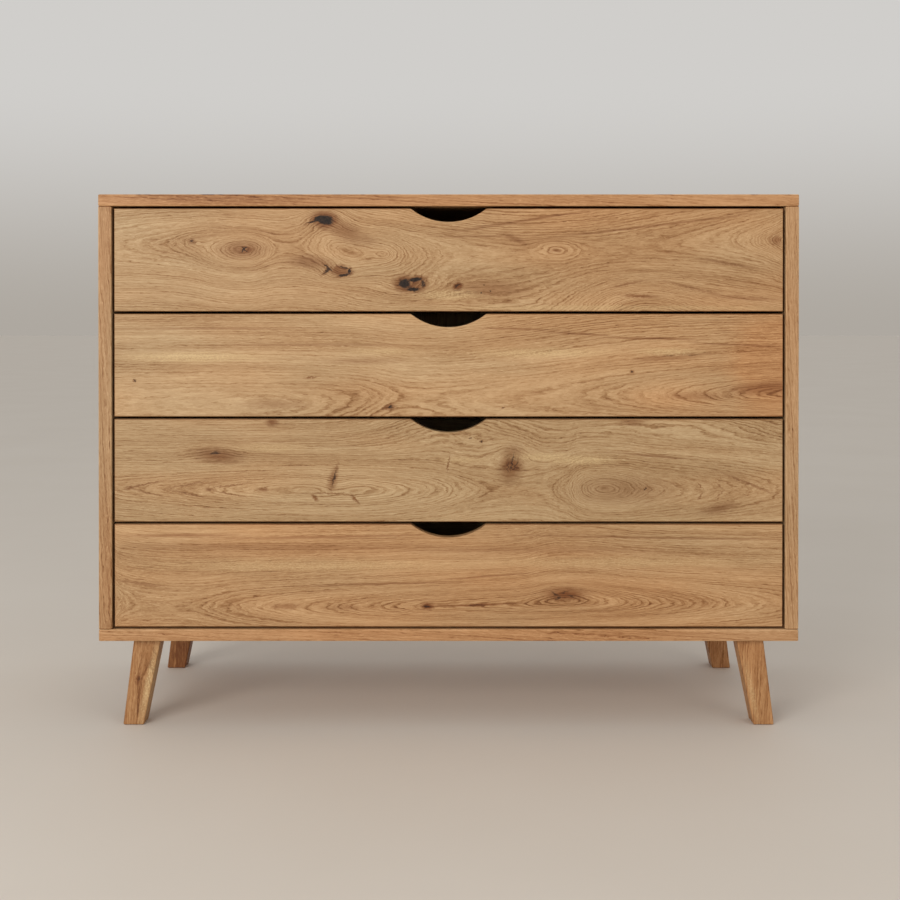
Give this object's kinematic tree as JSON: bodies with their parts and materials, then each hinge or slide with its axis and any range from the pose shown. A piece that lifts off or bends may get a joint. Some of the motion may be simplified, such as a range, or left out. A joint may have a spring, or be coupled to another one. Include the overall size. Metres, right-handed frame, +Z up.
{
  "type": "chest of drawers",
  "caption": "Wide low oak chest of full-width inset drawers with curved finger cutouts, on tapered splayed legs; drawers run on ball-bearing rails.",
  "frame": {"origin": "on the floor, under the middle of the chest", "axes": "+X to the right along the width, -Y out of the drawer fronts, +Z up"},
  "size_m": [1.2, 0.45, 0.916],
  "materials": {
    "oak_front": "oiled, satin",
    "oak_slab": "oiled, satin",
    "oak_side": "oiled, satin",
    "oak_leg": "oiled, satin",
    "drawer_wood": "planed, matt",
    "drawer_ply": "veneered, matt",
    "back_ply": "veneered, matt",
    "beech_dowel": "fluted",
    "rail_steel": "zinc-plated",
    "zinc_steel": "zinc-plated",
    "ball_cage": "bright",
    "insert_brass": "plain"
  },
  "bodies": {
    "carcass": {"top_panel": "oak_slab", "bottom_panel": "oak_slab", "left_side_panel": "oak_side", "right_side_panel": "oak_side", "back_panel": "back_ply", "leg_front_left": "oak_leg", "leg_front_right": "oak_leg", "leg_rear_left": "oak_leg", "leg_rear_right": "oak_leg", "leg_bolts": "zinc_steel", "leg_inserts": "insert_brass", "dowels": "beech_dowel", "back_panel_screws": "zinc_steel", "cabinet_rail_1_left": "rail_steel", "cabinet_rail_1_right": "rail_steel", "cabinet_rail_2_left": "rail_steel", "cabinet_rail_2_right": "rail_steel", "cabinet_rail_3_left": "rail_steel", "cabinet_rail_3_right": "rail_steel", "cabinet_rail_4_left": "rail_steel", "cabinet_rail_4_right": "rail_steel", "cabinet_rail_screws": "zinc_steel"},
    "drawer_1": {"drawer_1_front": "oak_front", "drawer_1_left_side": "drawer_wood", "drawer_1_right_side": "drawer_wood", "drawer_1_back": "drawer_wood", "drawer_1_bottom": "drawer_ply", "drawer_1_rails": "rail_steel", "drawer_1_screws": "zinc_steel"},
    "middle_rails_1": {"drawer_1_middle_rails": "rail_steel", "drawer_1_ball_cages": "ball_cage"},
    "drawer_2": {"drawer_2_front": "oak_front", "drawer_2_left_side": "drawer_wood", "drawer_2_right_side": "drawer_wood", "drawer_2_back": "drawer_wood", "drawer_2_bottom": "drawer_ply", "drawer_2_rails": "rail_steel", "drawer_2_screws": "zinc_steel"},
    "middle_rails_2": {"drawer_2_middle_rails": "rail_steel", "drawer_2_ball_cages": "ball_cage"},
    "drawer_3": {"drawer_3_front": "oak_front", "drawer_3_left_side": "drawer_wood", "drawer_3_right_side": "drawer_wood", "drawer_3_back": "drawer_wood", "drawer_3_bottom": "drawer_ply", "drawer_3_rails": "rail_steel", "drawer_3_screws": "zinc_steel"},
    "middle_rails_3": {"drawer_3_middle_rails": "rail_steel", "drawer_3_ball_cages": "ball_cage"},
    "drawer_4": {"drawer_4_front": "oak_front", "drawer_4_left_side": "drawer_wood", "drawer_4_right_side": "drawer_wood", "drawer_4_back": "drawer_wood", "drawer_4_bottom": "drawer_ply", "drawer_4_rails": "rail_steel", "drawer_4_screws": "zinc_steel"},
    "middle_rails_4": {"drawer_4_middle_rails": "rail_steel", "drawer_4_ball_cages": "ball_cage"}
  },
  "joints": [
    {"name": "drawer_1_slide", "type": "slide", "parent": "carcass", "child": "drawer_1", "axis": [0, -1, 0], "range_m": [0, 0.4]},
    {"name": "middle_rails_1_slide", "type": "slide", "parent": "carcass", "child": "middle_rails_1", "axis": [0, -1, 0], "range_m": [0, 0.2]},
    {"name": "drawer_2_slide", "type": "slide", "parent": "carcass", "child": "drawer_2", "axis": [0, -1, 0], "range_m": [0, 0.4]},
    {"name": "middle_rails_2_slide", "type": "slide", "parent": "carcass", "child": "middle_rails_2", "axis": [0, -1, 0], "range_m": [0, 0.2]},
    {"name": "drawer_3_slide", "type": "slide", "parent": "carcass", "child": "drawer_3", "axis": [0, -1, 0], "range_m": [0, 0.4]},
    {"name": "middle_rails_3_slide", "type": "slide", "parent": "carcass", "child": "middle_rails_3", "axis": [0, -1, 0], "range_m": [0, 0.2]},
    {"name": "drawer_4_slide", "type": "slide", "parent": "carcass", "child": "drawer_4", "axis": [0, -1, 0], "range_m": [0, 0.4]},
    {"name": "middle_rails_4_slide", "type": "slide", "parent": "carcass", "child": "middle_rails_4", "axis": [0, -1, 0], "range_m": [0, 0.2]}
  ],
  "couplings": [
    {"joint": "middle_rails_1_slide", "follows": "drawer_1_slide", "ratio": 0.5},
    {"joint": "middle_rails_2_slide", "follows": "drawer_2_slide", "ratio": 0.5},
    {"joint": "middle_rails_3_slide", "follows": "drawer_3_slide", "ratio": 0.5},
    {"joint": "middle_rails_4_slide", "follows": "drawer_4_slide", "ratio": 0.5}
  ]
}
